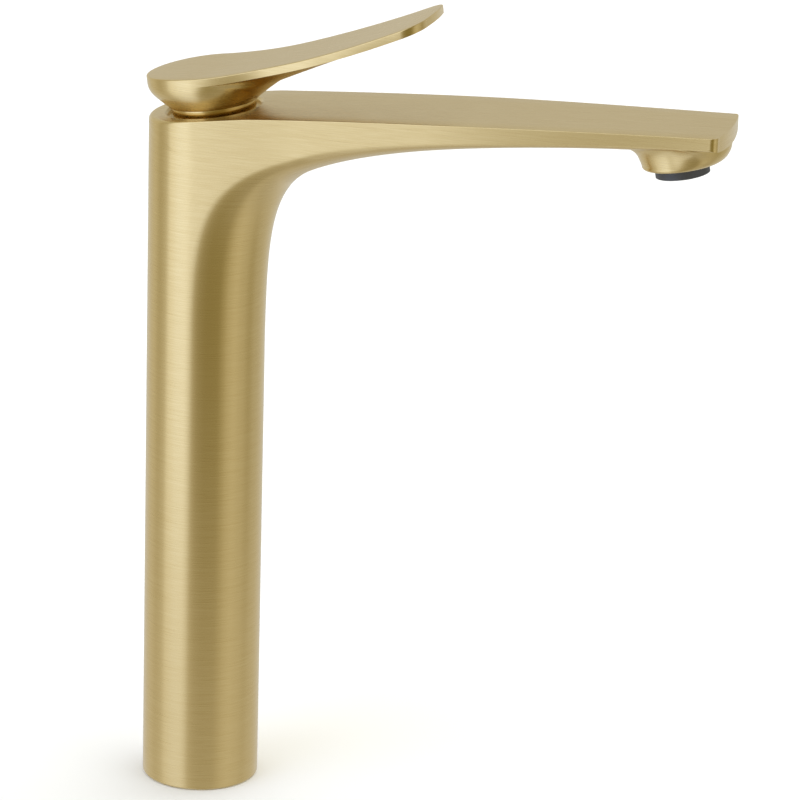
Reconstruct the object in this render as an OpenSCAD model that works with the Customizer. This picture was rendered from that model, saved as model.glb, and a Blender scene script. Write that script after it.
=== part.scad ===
// Tall single-lever basin mixer: column, long low spout, blade lever and 35 mm ceramic cartridge.
// The origin is the centre of the column's foot on the deck, +Z is up and +X points along the spout.

/* [Column] */
// Outside diameter of the column
column_d = 50; // [40:1:60]
// Wall of the column tube
column_wall = 2; // [1.5:0.1:3]
// Height of the centre of the valve opening above the deck
body_h = 299.5; // [250:0.5:370]
// Distance from the valve opening down to the seam between head and tube
head_drop = 94; // [90:1:110]
// Length of the spigot that centres the head in the tube
spigot_l = 8; // [5:1:14]

/* [Spout] */
// Distance from the column's axis to the end of the spout
spout_reach = 222.5; // [180:0.5:270]
// Half the width of the spout along its straight part
spout_half_w = 24.4; // [18:0.1:28]
// How much narrower each side is at the spout's end
spout_taper = 3.7; // [0:0.1:6]
// Slope of the valve opening and of the rear of the top face
valve_tilt = 8.2; // [4:0.1:12]
// Height of the waterway inside the spout
waterway_h = 4; // [3:0.1:5]
// Width of the waterway inside the spout
waterway_w = 16; // [8:0.5:24]

/* [Outlet] */
// Diameter of the outlet boss under the spout
boss_d = 32; // [28:0.5:36]
// Distance from the spout's end back to the boss's axis
boss_setback = 20.2; // [18:0.1:30]
// Slope of the outlet's face
outlet_tilt = 10; // [0:0.5:15]
// Outside diameter of the aerator housing
aerator_d = 22.4; // [18:0.1:23]
// Radial clearance of the aerator in its socket
aerator_gap = 0.1; // [0.05:0.05:0.2]
// How far the aerator stands out of the boss
aerator_drop = 4.15; // [1:0.05:5]

/* [Foot] */
// Thickness of the disc that takes the fixing studs
foot_h = 10; // [8:0.5:16]
// Thickness of the foot gasket
gasket_h = 1.5; // [1:0.1:3]
// Width of the window that the hoses pass through
window_w = 14; // [12:0.5:16]
// Length of the window that the hoses pass through
window_l = 34; // [30:0.5:36]
// Drill diameter of the two M8 stud holes
stud_hole_d = 6.8; // [5:0.1:7]
// Distance of the stud holes behind the column's axis
stud_back = 13; // [12:0.5:15]
// Half the distance between the stud holes
stud_half_gap = 9; // [6:0.5:10]

/* [Inlets] */
// Drill diameter of the M10 x 1 hose inlets
inlet_d = 9; // [8:0.1:10]
// Threaded depth of the hose inlets
inlet_l = 10; // [8:0.5:12]
// Half the distance between the hose inlets
inlet_half_gap = 9; // [8:0.5:11]
// Distance of the hose inlets in front of the column's axis
inlet_x = 5; // [2:0.5:6]

/* [Cartridge] */
// Outside diameter of the cartridge
cartridge_d = 35; // [33:0.1:36]
// Radial clearance of the cartridge in its bore
cartridge_gap = 0.15; // [0.1:0.05:0.3]
// Depth of the cartridge's seat below the valve opening
seat_depth = 25; // [24:0.5:30]
// Diameter of the valve opening in the top face
opening_d = 39.5; // [38.5:0.1:42]
// Radial play of the turntable in the cartridge's neck
turn_play = 0.08; // [0.03:0.01:0.1]
// Height of the tilting pin above the valve opening
pivot_h = 2.5; // [2:0.1:3]
// Diameter of the tilting pin
pin_d = 3.2; // [2.5:0.1:4]
// Length of the stem below the tilting pin
stem_arm = 13.4; // [13:0.1:13.6]
// Width across the flats of the square stem
stem_w = 8; // [7:0.1:9]
// Radial play of the stem on its pin
pin_play = 0.05; // [0.02:0.01:0.1]

/* [Handle] */
// Distance from the valve's axis to the lever's tip
lever_reach = 101; // [85:0.5:120]
// Height that the blade gains from the valve's axis to its tip
lever_rise = 19.2; // [12:0.1:26]
// Half the width of the lever's blade
lever_half_w = 21.8; // [18:0.1:26]
// Thickness of the blade at its edge
blade_t = 3.4; // [2.5:0.1:5]
// Gap between the handle's hollow and the dome ring
dome_gap = 0.45; // [0.35:0.05:0.8]
// Nominal diameter of the grub screw
grub_d = 5; // [4:0.5:6]
// Length of the grub screw
grub_l = 5; // [4:0.5:6]

/* [Hidden] */
$fn = 72;
column_r = column_d / 2;
tube_bore_r = column_r - column_wall;
seam_z = body_h - head_drop;
slip = 0.05;
foot_round = 0.8;

// Valve stack: heights are measured along the tilted axis from the valve opening.
valve_x = 2.3;
opening_r = opening_d / 2;
opening_chamfer = 1;
cartridge_r = cartridge_d / 2;
nut_r = cartridge_r + 0.95;
nut_bore_r = nut_r + slip;
shoulder_h = -5;
nut_flange_t = 3;
nut_top = 3;
neck_r = 12.8;
neck_top = 5.2;
chamber_r = cartridge_r - 2;
turn_bore_r = 11.1;
turn_r = turn_bore_r - turn_play;
chamber_top = shoulder_h - 2;
base_t = 5;
disc_t = 3.2;
fixed_disc_h = -seat_depth + base_t;
moving_disc_h = fixed_disc_h + disc_t;
driver_h = moving_disc_h + disc_t;
driver_t = 3.8;
driver_half_w = 8;
guide_play = 0.1;
ball_r = 2;
ball_play = 0.1;
moving_disc_r = chamber_r - 3.7;
dome_r = 17.95;
dome_bore_r = 14.7;
dome_top = 7.2;
dome_bottom = shoulder_h + nut_flange_t + 0.2;
collar_r = dome_bore_r - 0.15;
hollow_r = dome_r + dome_gap;
seal_r = 0.66;
seal_inset = 0.6;
carrier_seal_h = -2.5;
stem_top = 13.6;
ceiling_h = 12;
socket_top = 14;
hub_r = 7.5;
hub_bottom = 7.5;
grub_h = 10.2;
port_x = 3.2;
port_y = 6;
port_r = 2.5;
outlet_port_x = -6.2;
outlet_port_r = 2.8;

// Side view of the body: the keel is the underside, the shoulder is where the flat sides begin.
cap_z = body_h + 26;
loft_end = spout_reach + 3;
KEEL = [
    [[column_r, body_h - 99], [column_r + 0.5, body_h - 54.5],
     [column_r + 1.5, body_h - 31.5], [column_r + 23, body_h - 21]],
    [[column_r + 23, body_h - 21], [column_r + 47, body_h - 9.7],
     [spout_reach - 102.5, body_h - 0.2], [spout_reach - 46.5, body_h + 3.3]],
    [[spout_reach - 46.5, body_h + 3.3], [spout_reach - 30, body_h + 4.3],
     [spout_reach - 12, body_h + 6.5], [loft_end, body_h + 7.8]]];
SHOULDER = [
    [[0, body_h - 99], [0, body_h - 46.5],
     [2, body_h - 26.5], [column_r + 18, body_h - 12]],
    [[column_r + 18, body_h - 12], [column_r + 43, body_h - 1.5],
     [spout_reach - 112.5, body_h + 2.5], [spout_reach - 46.5, body_h + 7.8]],
    [[spout_reach - 46.5, body_h + 7.8], [spout_reach - 30, body_h + 8.6],
     [spout_reach - 12, body_h + 9.3], [loft_end, body_h + 9.6]]];
TOP = [[24, body_h + 3.1], [90, body_h + 9], [spout_reach - 72, body_h + 12], [loft_end, body_h + 14.7]];

// Outlet boss: heights are measured from its sloping face.
boss_r = boss_d / 2;
boss_x = spout_reach - boss_setback;
boss_z = body_h - 3.1;
boss_fillet = 8;
socket_depth = 9;
aerator_r = aerator_d / 2;

// Handle: heights and radii are measured in the valve's tilted frame.
rim_r = 18.8;
rim_h = pivot_h + 0.1;
head_back = 26.9;
head_side = 23;
head_front = 32;
waist_w = 20.7;
tip_narrow = 1.2;
lever_flat = 17.3;
root_h = 11;

function bezier(p, u) = pow(1 - u, 3) * p[0] + 3 * pow(1 - u, 2) * u * p[1]
    + 3 * (1 - u) * u * u * p[2] + pow(u, 3) * p[3];
function smooth(t) = let (c = min(1, max(0, t))) c * c * (3 - 2 * c);
function curve(spans, u) = let (i = min(len(spans) - 1, floor(u))) bezier(spans[i], u - i);

// Half width of the body at distance x: the tube's circle behind the axis, the spout in front of it.
function half_width(x) = x < 0
    ? sqrt(max(0, column_r * column_r - x * x))
    : column_r + (spout_half_w - column_r) * smooth(x / 45)
        - spout_taper * smooth((x - spout_reach + 122) / 130);

// The spout's sides bulge by a hair, which keeps the loft's facets out of one plane.
side_crown = 0.0002;

// One ring of the body: from the back over one side to the keel, then back over the other side.
back_n = 10;
front_n = 10;
function back_points(s, d, reach) = [for (j = [back_n:-1:1])
    let (e = reach * sin(90 * j / (back_n + 0.5)), x = s[0] + e * d[0])
    [x, half_width(x) - side_crown * e * e * smooth(s[0] / 60), s[1] + e * d[1]]];
function front_points(s, k) = [for (j = [0:front_n])
    let (a = 90 * j / front_n)
    [s[0] + (k[0] - s[0]) * sin(a), half_width(s[0]) * (j == front_n ? 0 : cos(a)), s[1] + (k[1] - s[1]) * sin(a)]];
function body_ring(u) =
    let (s = curve(SHOULDER, u), k = curve(KEEL, u), d = (s - k) / norm(s - k))
    let (to_back = (s[0] + column_r) / max(0.001, -d[0]), to_cap = (cap_z - s[1]) / max(0.001, d[1]))
    let (side = concat(back_points(s, d, min(to_back, to_cap)), front_points(s, k)))
    concat(side, [for (j = [len(side) - 2:-1:0]) [side[j][0], -side[j][1], side[j][2]]]);

// A closed solid through rings that all have the same number of points.
module loft(rings) {
    n = len(rings[0]);
    m = len(rings);
    sides = [for (i = [0:m - 2], j = [0:n - 1])
        let (a = i * n + j, b = i * n + (j + 1) % n)
        each [[a, b, b + n], [a, b + n, a + n]]];
    ends = [[for (j = [n - 1:-1:0]) j], [for (j = [0:n - 1]) (m - 1) * n + j]];
    polyhedron([for (r = rings) each r], concat(sides, ends), convexity = 6);
}

module valve_frame() {
    translate([valve_x, 0, body_h]) rotate([0, -valve_tilt, 0]) children();
}

module outlet_frame() {
    translate([boss_x, 0, boss_z]) rotate([0, -outlet_tilt, 0]) children();
}

module at(h) {
    translate([0, 0, h]) children();
}

module tube(r, bore, h0, h1) {
    difference() {
        at(h0) cylinder(r = r, h = h1 - h0);
        at(h0 - 1) cylinder(r = bore, h = h1 - h0 + 2);
    }
}

module ring_seal(r, t) {
    rotate_extrude() translate([r, 0]) circle(r = t, $fn = 20);
}

// A stadium-shaped prism that lies across the column.
module stadium(l, w, h) {
    for (side = [-1, 1])
        translate([0, side * (l - w) / 2, 0]) cylinder(d = w, h = h);
    translate([-w / 2, -(l - w) / 2, 0]) cube([w, l - w, h]);
}

/* ---- Body ---- */

module column_tube() {
    color("#b89f63")
    rotate_extrude()
        polygon(concat(
            [[tube_bore_r, 0], [column_r - foot_round, 0]],
            [for (a = [15:15:75]) [column_r - foot_round * (1 - sin(a)), foot_round * (1 - cos(a))]],
            [[column_r, foot_round], [column_r, seam_z], [tube_bore_r, seam_z]]));
}

module body_loft() {
    steps = concat([for (i = [0:20]) i / 20], [for (i = [1:12]) 1 + i / 12], [2.4, 2.8, 3]);
    loft([for (u = steps) body_ring(u)]);
}

// Everything under the top face and inside the rounded end of the spout.
module body_envelope() {
    slope = tan(valve_tilt);
    top = [for (i = [0:16]) bezier(TOP, i / 16)];
    rotate([90, 0, 0])
        linear_extrude(height = 80, center = true)
        polygon(concat([[-60, seam_z], [-60, body_h - slope * (60 + valve_x)]], top,
            [[loft_end, seam_z]]));
}

module spout_end() {
    corner = 3;
    bulge = 1.5;
    w = half_width(spout_reach) - corner;
    mouth = [for (i = [-8:8]) [spout_reach - bulge * pow(i / 8, 2), w * i / 8]];
    arc = [for (a = [15:15:75]) [spout_reach - bulge - corner + corner * cos(a), w + corner * sin(a)]];
    upper = concat(arc, [[spout_reach - bulge - corner, 60], [-60, 60]]);
    lower = [for (i = [len(upper) - 1:-1:0]) [upper[i][0], -upper[i][1]]];
    at(seam_z - 20) linear_extrude(height = body_h) polygon(concat(mouth, upper, lower));
}

module outlet_boss() {
    edge = 0.8;
    outlet_frame() intersection() {
        rotate_extrude()
            polygon(concat([[0, 0], [boss_r - edge, 0]],
                [for (a = [15:15:90]) [boss_r - edge + edge * sin(a), edge * (1 - cos(a))]],
                [for (a = [0:10:90]) [boss_r + boss_fillet * (1 - cos(a)), 2.2 + boss_fillet * sin(a)]],
                [[boss_r + boss_fillet, 14], [0, 14]]));
        at(-1) linear_extrude(height = 20) square([2 * boss_r + 2 * boss_fillet, 2 * half_width(boss_x) - 0.6],
            center = true);
    }
}

module waterway() {
    z = body_h + 6.2;
    h = waterway_h;
    path = [[valve_x - 10, body_h - 36.5], [column_r + 8, body_h - 26], [column_r + 35, body_h - 7.5],
        [spout_reach - 88, z - 2.2], [boss_x - 6, z + 0.6], [boss_x + 7, z + 1.2]];
    upper = [for (p = path) p + [-0.3 * h, h / 2]];
    lower = [for (i = [len(path) - 1:-1:0]) path[i] - [-0.3 * h, h / 2]];
    rotate([90, 0, 0])
        linear_extrude(height = waterway_w / 2, center = true)
        polygon(concat(upper, lower));
    outlet_frame() at(socket_depth - 1) cylinder(r = 6, h = 3.5);
    valve_frame() translate([outlet_port_x, 0, -seat_depth - 14]) cylinder(r = outlet_port_r, h = 15);
}

module hose_inlets() {
    floor_z = body_h - 51.5;
    for (side = [-1, 1]) {
        translate([inlet_x, side * inlet_half_gap, floor_z - 1]) cylinder(d = inlet_d, h = inlet_l + 1);
        translate([inlet_x, side * (inlet_half_gap - 1.5), floor_z + inlet_l - 0.5]) cylinder(r = 2.6, h = 10);
        valve_frame() translate([port_x, side * port_y, -seat_depth - 9]) cylinder(r = port_r, h = 10);
    }
}

module spout_head() {
    color("#b89f63")
    difference() {
        union() {
            intersection() {
                union() {
                    body_loft();
                    outlet_boss();
                }
                body_envelope();
                spout_end();
            }
            at(seam_z - spigot_l) cylinder(r = tube_bore_r - slip, h = spigot_l + 1);
        }
        at(seam_z - 20) linear_extrude(height = 20) difference() {
            square(90, center = true);
            circle(r = tube_bore_r - slip);
        }
        at(seam_z - spigot_l - 1) cylinder(r = tube_bore_r - 2.5, h = body_h - 51.5 - seam_z + spigot_l + 1);
        valve_frame() {
            at(-seat_depth) cylinder(r = cartridge_r + cartridge_gap, h = seat_depth);
            at(shoulder_h) cylinder(r = nut_bore_r, h = 6);
            at(shoulder_h + nut_flange_t) cylinder(r = opening_r, h = 6);
            at(-opening_chamfer) cylinder(r1 = opening_r, r2 = opening_r + 2 * opening_chamfer,
                h = 2 * opening_chamfer);
        }
        waterway();
        hose_inlets();
        outlet_frame() at(-1) cylinder(r = aerator_r + aerator_gap, h = socket_depth + 1);
    }
}

module base_socket() {
    color("#c9b45f")
    difference() {
        at(gasket_h) cylinder(r = tube_bore_r - slip, h = foot_h);
        translate([inlet_x, 0, 0]) stadium(window_l, window_w, foot_h + 10);
        for (side = [-1, 1])
            translate([-stud_back, side * stud_half_gap, 0]) cylinder(d = stud_hole_d, h = foot_h + 10);
    }
}

module base_gasket() {
    color("#222222")
    difference() {
        cylinder(r = tube_bore_r - 0.2, h = gasket_h);
        translate([inlet_x, 0, -1]) stadium(window_l + 1, window_w + 1, 10);
        for (side = [-1, 1])
            translate([-stud_back, side * stud_half_gap, -1]) cylinder(d = stud_hole_d + 1.2, h = 10);
    }
}

/* ---- Valve ---- */

module cartridge_nut() {
    color("#c9b45f")
    valve_frame() difference() {
        union() {
            at(shoulder_h) cylinder(r = nut_r, h = nut_flange_t);
            at(shoulder_h) cylinder(r = collar_r, h = nut_top - shoulder_h);
        }
        at(shoulder_h - 1) cylinder(r = neck_r + 0.2, h = 20);
        at((dome_bottom + nut_top) / 2) ring_seal(collar_r - seal_inset, seal_r + 0.04);
    }
}

module dome_ring() {
    color("#d8c07a")
    valve_frame() difference() {
        intersection() {
            at(pivot_h) sphere(r = dome_r, $fn = 96);
            at(dome_bottom) cylinder(r = dome_r + 1, h = dome_top - dome_bottom);
        }
        at(dome_bottom - 1) cylinder(r = dome_bore_r, h = 20);
    }
}

module dome_o_ring() {
    color("#222222")
    valve_frame() at((dome_bottom + nut_top) / 2) ring_seal(collar_r - seal_inset, seal_r);
}

module cartridge_housing() {
    color("#e6e6e0")
    valve_frame() difference() {
        union() {
            at(fixed_disc_h) cylinder(r = cartridge_r, h = shoulder_h - fixed_disc_h);
            at(shoulder_h - 0.5) cylinder(r = neck_r, h = neck_top - shoulder_h + 0.5);
        }
        at(fixed_disc_h - 1) cylinder(r = chamber_r, h = chamber_top - fixed_disc_h + 1);
        at(fixed_disc_h - 1) cylinder(r = turn_bore_r, h = 60);
    }
}

module cartridge_base() {
    color("#4a4a4c")
    valve_frame() difference() {
        at(-seat_depth) cylinder(r = cartridge_r, h = base_t);
        for (side = [-1, 1]) {
            translate([port_x, side * port_y, -seat_depth - 1]) cylinder(r = port_r, h = base_t + 2);
            translate([port_x, side * port_y, -seat_depth - 1]) cylinder(r = port_r + 1.7, h = 2.4);
        }
        translate([outlet_port_x, 0, -seat_depth - 1]) cylinder(r = outlet_port_r, h = base_t + 2);
        translate([outlet_port_x, 0, -seat_depth - 1]) cylinder(r = outlet_port_r + 1.7, h = 2.4);
    }
}

module port_seals() {
    t = 0.68;
    color("#c04a2a")
    valve_frame() at(-seat_depth + t + 0.02) {
        for (side = [-1, 1])
            translate([port_x, side * port_y, 0]) ring_seal(port_r + 0.85, t);
        translate([outlet_port_x, 0, 0]) ring_seal(outlet_port_r + 0.85, t);
    }
}

module fixed_disc() {
    color("#f2f2ee")
    valve_frame() difference() {
        at(fixed_disc_h) cylinder(r = chamber_r - 0.1, h = disc_t);
        for (side = [-1, 1])
            translate([port_x, side * port_y, fixed_disc_h - 1]) cylinder(r = port_r, h = disc_t + 2);
        translate([outlet_port_x, 0, fixed_disc_h - 1]) cylinder(r = outlet_port_r, h = disc_t + 2);
    }
}

module moving_disc() {
    recess = 1.6;
    film = 0.02;
    color("#dcdcd8")
    valve_frame() difference() {
        at(moving_disc_h + film) cylinder(r = moving_disc_r, h = disc_t - film);
        translate([-9.5, -8.5, moving_disc_h - 1]) cube([9.7, 17, 1 + recess]);
        for (side = [-1, 1])
            translate([side * 6, 0, moving_disc_h + 1]) translate([0, 4, 0.9]) cylinder(r = 1, h = 5, $fn = 24);
    }
}

module disc_driver() {
    color("#3f6fae")
    valve_frame() difference() {
        union() {
            intersection() {
                at(driver_h) cylinder(r = moving_disc_r, h = driver_t);
                translate([-moving_disc_r, -driver_half_w, driver_h])
                    cube([2 * moving_disc_r, 2 * driver_half_w, driver_t]);
            }
            for (side = [-1, 1])
                translate([side * 6, 4, driver_h - 1.1]) cylinder(r = 0.95, h = 1.6, $fn = 24);
        }
        at(driver_h + 0.4) cylinder(r = ball_r + ball_play, h = driver_t);
    }
}

// The turntable: a neck in the cartridge's bore, a flange under its shoulder and two guides below.
module stem_carrier() {
    flange_t = 1.8;
    guide_h = 3;
    flange_top = chamber_top - 0.2;
    color("#5a5d60")
    valve_frame() difference() {
        union() {
            at(flange_top - 1) cylinder(r = turn_r, h = neck_top - 0.8 - flange_top + 1);
            at(flange_top - flange_t) cylinder(r = chamber_r - 0.2, h = flange_t);
            for (side = [-1, 1]) intersection() {
                at(flange_top - flange_t - guide_h) cylinder(r = chamber_r - 0.2, h = guide_h + 1);
                translate([-20, side > 0 ? driver_half_w + guide_play : -20 - driver_half_w - guide_play,
                    flange_top - 20]) cube([40, 20, 20]);
            }
        }
        translate([-8.6, -stem_w / 2 - 0.2, -30]) cube([17.2, stem_w + 0.4, 60]);
        at(pivot_h) rotate([90, 0, 0]) cylinder(d = pin_d, h = 60, center = true);
        at(carrier_seal_h) ring_seal(turn_r - seal_inset, seal_r + 0.04);
    }
}

module carrier_o_ring() {
    color("#222222")
    valve_frame() at(carrier_seal_h) ring_seal(turn_r - seal_inset, seal_r);
}

module stem() {
    color("#b9bcc0")
    valve_frame() difference() {
        union() {
            translate([-stem_w / 2, -stem_w / 2, pivot_h]) cube([stem_w, stem_w, stem_top - pivot_h]);
            at(pivot_h) rotate([90, 0, 0]) cylinder(r = 4.4, h = stem_w, center = true);
            at(pivot_h - stem_arm) cylinder(r = ball_r - 0.5, h = stem_arm);
            at(pivot_h - stem_arm) sphere(r = ball_r);
        }
        at(pivot_h) rotate([90, 0, 0]) cylinder(r = pin_d / 2 + pin_play, h = 30, center = true);
    }
}

module stem_pin() {
    color("#c8cacc")
    valve_frame() at(pivot_h) rotate([90, 0, 0]) cylinder(d = pin_d, h = 2 * turn_r - 1.6, center = true);
}

module hot_limit_ring() {
    color("#c23b30")
    valve_frame() tube(neck_r, neck_r - 1.5, neck_top, neck_top + 1.2);
}

/* ---- Handle ---- */

// Height of the lever's top face in the valve's frame: it drops a little at the back and curves up in front.
function lever_top(x) = lever_flat + (x < 0
    ? -1 * pow(x / head_back, 2)
    : lever_rise * pow(x / lever_reach, 1.62));

// Half the width of the handle at distance x from the valve's axis.
function handle_half_w(x) = x < 0
    ? head_side * sqrt(max(0, 1 - pow(x / head_back, 2)))
    : head_side + (waist_w - head_side) * smooth(x / 31)
        + (lever_half_w - waist_w) * smooth((x - 30) / 24)
        - tip_narrow * smooth((x - lever_reach + 39) / 36);

// Plan outline of the handle as points, from the back round the far side to the tip.
function plan_half() =
    let (corner = 9, bulge = 1, x1 = lever_reach - bulge - corner, w1 = handle_half_w(x1))
    concat(
        [for (i = [0:9]) let (a = 9 * i + 4) [-head_back * cos(a), head_side * sin(a)]],
        [for (i = [0:11]) let (x = x1 * i / 11) [x, handle_half_w(x)]],
        [for (a = [20:20:80]) [x1 + corner * sin(a), w1 - corner * (1 - cos(a))]],
        [for (t = [0.75, 0.25]) [lever_reach - bulge * t * t, (w1 - corner) * t]]);
PLAN = let (half = plan_half()) concat(half, [for (i = [len(half) - 1:-1:0]) [half[i][0], -half[i][1]]]);

// The bowl: from the rim to the outline where the walls of the head end.
function head_radius(p) = let (a = atan2(p[1], p[0]))
    a > 90 || a < -90 ? norm(p)
    : min(norm(p), 1 / sqrt(pow(cos(a) / head_front, 2) + pow(sin(a) / head_side, 2)));
function head_top(p) =
    let (a = atan2(p[1], p[0]), x = head_radius(p) * cos(a), side = lever_top(x) - blade_t)
    side + (root_h - side) * smooth((cos(a) - 0.25) / 0.6);
function bowl_point(p, u) =
    let (r = head_radius(p), h = head_top(p), k = norm(p), front = smooth(p[0] / 30))
    let (q = bezier([[rim_r, rim_h], [rim_r + (0.65 - 0.25 * front) * (r - rim_r), rim_h + 0.46 * (h - rim_h)],
        [r - 4.5 * front, rim_h + (0.6 + 0.1 * front) * (h - rim_h)], [r, h]], u))
    [p[0] / k * q[0], p[1] / k * q[0], q[1]];
function under_point(p, f) =
    let (k = norm(p), r = head_radius(p), x0 = p[0] / k * r)
    let (t0 = lever_top(x0) - head_top(p), q = r + (k - r) * f, x = p[0] / k * q)
    [x, p[1] / k * q, lever_top(x) - blade_t - (t0 - blade_t) * pow(1 - f, 2.2)];
function top_point(p, f) = let (x = p[0] * f + 12 * (1 - f)) [x, p[1] * f, lever_top(x)];

module handle_loft() {
    edge = 0.5;
    rings = concat(
        [for (u = [0:0.125:1]) [for (p = PLAN) bowl_point(p, u)]],
        [for (f = [0.2, 0.45, 0.75, 1]) [for (p = PLAN) under_point(p, f)]],
        [[for (p = PLAN) top_point(p, 1) - [0, 0, edge]]],
        [[for (p = PLAN) top_point(p, 0.985)]],
        [for (f = [0.7, 0.4, 0.12]) [for (p = PLAN) top_point(p, f)]]);
    loft(rings);
}

module handle() {
    hollow_side = stem_w / 2 + 0.05;
    color("#b89f63")
    valve_frame() difference() {
        union() {
            difference() {
                handle_loft();
                intersection() {
                    at(pivot_h) sphere(r = hollow_r, $fn = 96);
                    at(-20) cylinder(r = 30, h = 20 + ceiling_h);
                }
            }
            at(hub_bottom) cylinder(r = hub_r, h = ceiling_h - hub_bottom + 1);
        }
        translate([-hollow_side, -hollow_side, hub_bottom - 1])
            cube([2 * hollow_side, 2 * hollow_side, socket_top - hub_bottom + 1]);
        translate([0, 0, grub_h]) rotate([0, -90, 0]) cylinder(d = grub_d, h = 40);
    }
}

module grub_screw() {
    key = 1.25;
    color("#77797c")
    valve_frame() translate([-stem_w / 2, 0, grub_h]) rotate([0, -90, 0]) difference() {
        cylinder(d = grub_d - 0.04, h = grub_l);
        at(grub_l - 2.5) cylinder(r = key / cos(30), h = 5, $fn = 6);
    }
}

module index_plug() {
    plug_l = 4;
    color("#c23b30")
    valve_frame() intersection() {
        translate([-head_back + 1.1 + plug_l, 0, grub_h]) rotate([0, -90, 0])
            cylinder(d = grub_d - 0.04, h = plug_l);
        at(grub_h - 10) cylinder(r = head_back - 0.4, h = 20);
    }
}

/* ---- Aerator ---- */

module aerator_housing() {
    lip = 1.2;
    color("#4a4a4c")
    outlet_frame() difference() {
        at(-aerator_drop) cylinder(r = aerator_r, h = aerator_drop + 7);
        at(-aerator_drop + lip) cylinder(r = aerator_r - 1.2, h = 20);
        at(-aerator_drop - 1) cylinder(r = aerator_r - 2, h = 10);
    }
}

// The jet former: a disc pierced by a honeycomb of round cells.
module aerator_insert() {
    pitch = 2.6;
    r = aerator_r - 1.25;
    h = 2.4;
    color("#d8d8d4")
    outlet_frame() at(-aerator_drop + 1.2) difference() {
        cylinder(r = r, h = h);
        for (i = [-3:3], j = [-3:3]) {
            x = pitch * (i + j / 2);
            y = pitch * j * sin(60);
            if (norm([x, y]) < r - 2) translate([x, y, -1]) cylinder(r = 0.95, h = h + 2, $fn = 16);
        }
    }
}

module aerator_screen() {
    color("#9a9c9e")
    outlet_frame() at(-aerator_drop + 4.4) difference() {
        cylinder(r = aerator_r - 1.3, h = 0.6);
        for (i = [-3:3], j = [-3:3])
            if (norm([i, j]) < 3.4) translate([i * 2.2, j * 2.2, -1]) cylinder(r = 0.7, h = 3, $fn = 16);
    }
}

module aerator_gasket() {
    color("#222222")
    outlet_frame() tube(aerator_r - 0.1, aerator_r - 3.4, 7, socket_depth);
}

column_tube();
spout_head();
base_socket();
base_gasket();
cartridge_nut();
dome_ring();
dome_o_ring();
cartridge_housing();
cartridge_base();
port_seals();
fixed_disc();
moving_disc();
disc_driver();
stem_carrier();
carrier_o_ring();
stem();
stem_pin();
hot_limit_ring();
handle();
grub_screw();
index_plug();
aerator_housing();
aerator_insert();
aerator_screen();
aerator_gasket();
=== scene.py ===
"""Looks of a tall single-lever basin mixer in brushed gold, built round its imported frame."""
import math

import bmesh
import bpy
from bpy.props import FloatProperty, FloatVectorProperty, PointerProperty, StringProperty
from mathutils import Matrix, Vector


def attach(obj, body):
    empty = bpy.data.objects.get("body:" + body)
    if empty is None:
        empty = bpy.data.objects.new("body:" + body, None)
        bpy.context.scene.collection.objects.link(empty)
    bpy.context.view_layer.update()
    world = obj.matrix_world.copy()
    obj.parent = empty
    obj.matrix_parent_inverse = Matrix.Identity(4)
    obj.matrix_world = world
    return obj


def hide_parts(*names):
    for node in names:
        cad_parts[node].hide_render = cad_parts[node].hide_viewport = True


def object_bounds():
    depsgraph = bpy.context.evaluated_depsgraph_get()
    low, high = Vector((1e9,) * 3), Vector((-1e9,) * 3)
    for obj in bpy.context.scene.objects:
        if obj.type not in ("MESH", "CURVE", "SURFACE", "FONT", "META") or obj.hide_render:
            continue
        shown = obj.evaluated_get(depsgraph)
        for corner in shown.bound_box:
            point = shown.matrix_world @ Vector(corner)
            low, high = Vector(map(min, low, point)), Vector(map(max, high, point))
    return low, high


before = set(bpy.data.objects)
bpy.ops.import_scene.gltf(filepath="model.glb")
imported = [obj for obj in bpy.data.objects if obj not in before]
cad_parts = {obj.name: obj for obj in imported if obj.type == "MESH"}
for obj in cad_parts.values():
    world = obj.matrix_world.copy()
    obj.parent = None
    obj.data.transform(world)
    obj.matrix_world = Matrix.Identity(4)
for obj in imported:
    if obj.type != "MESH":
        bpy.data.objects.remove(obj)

bl_info = {
    "name": "Basin mixer looks",
    "version": (1, 0, 0),
    "blender": (4, 5, 0),
    "location": "View3D > Sidebar > Mixer",
    "description": "Models the skins of a tall basin mixer and gives every piece its finish",
    "category": "Object",
}

CAD_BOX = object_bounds()
MM = 0.001
SAME_POINT = 2e-6  # in metres: points closer than this become one
SMOOTH_ANGLE = math.radians(28)  # edges that bend less than this are shaded smooth


# ---------------------------------------------------------------- sizes and colours


def length(name, description, value):
    """A size given in millimetres and kept in metres."""
    return FloatProperty(
        name=name, description=description, default=value * MM, unit="LENGTH", precision=5
    )


def angle(name, description, value):
    """An angle given in degrees and kept in radians."""
    return FloatProperty(
        name=name, description=description, default=math.radians(value), subtype="ANGLE"
    )


class MixerBodySizes(bpy.types.PropertyGroup):
    column_r: length("Column radius", "Outside radius of the column", 25)
    tube_bore_r: length("Tube bore radius", "Inside radius of the column tube", 23)
    head_bore_r: length("Head bore radius", "Inside radius of the hollow in the head", 20.5)
    body_h: length("Body height", "Height of the valve opening's centre", 299.5)
    reach: length("Reach", "Distance from the column's axis to the spout's end", 222.5)
    half_w: length("Spout half width", "Half the width of the spout's straight part", 24.4)
    taper: length("Spout taper", "How much narrower each side is at the end", 3.7)
    valve_x: length("Valve offset", "Distance of the opening in front of the column's axis", 2.3)
    opening_r: length("Opening radius", "Radius of the valve opening", 19.75)
    valve_tilt: angle("Valve tilt", "Slope of the valve opening", 8.2)
    edge_round: length("Edge round", "Radius of the crease along the top face", 0.45)
    rear_round: length("Rear round", "Radius of the top edge behind the handle", 1.8)
    foot_round: length("Foot round", "Radius of the column's lower edge", 0.8)


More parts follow.
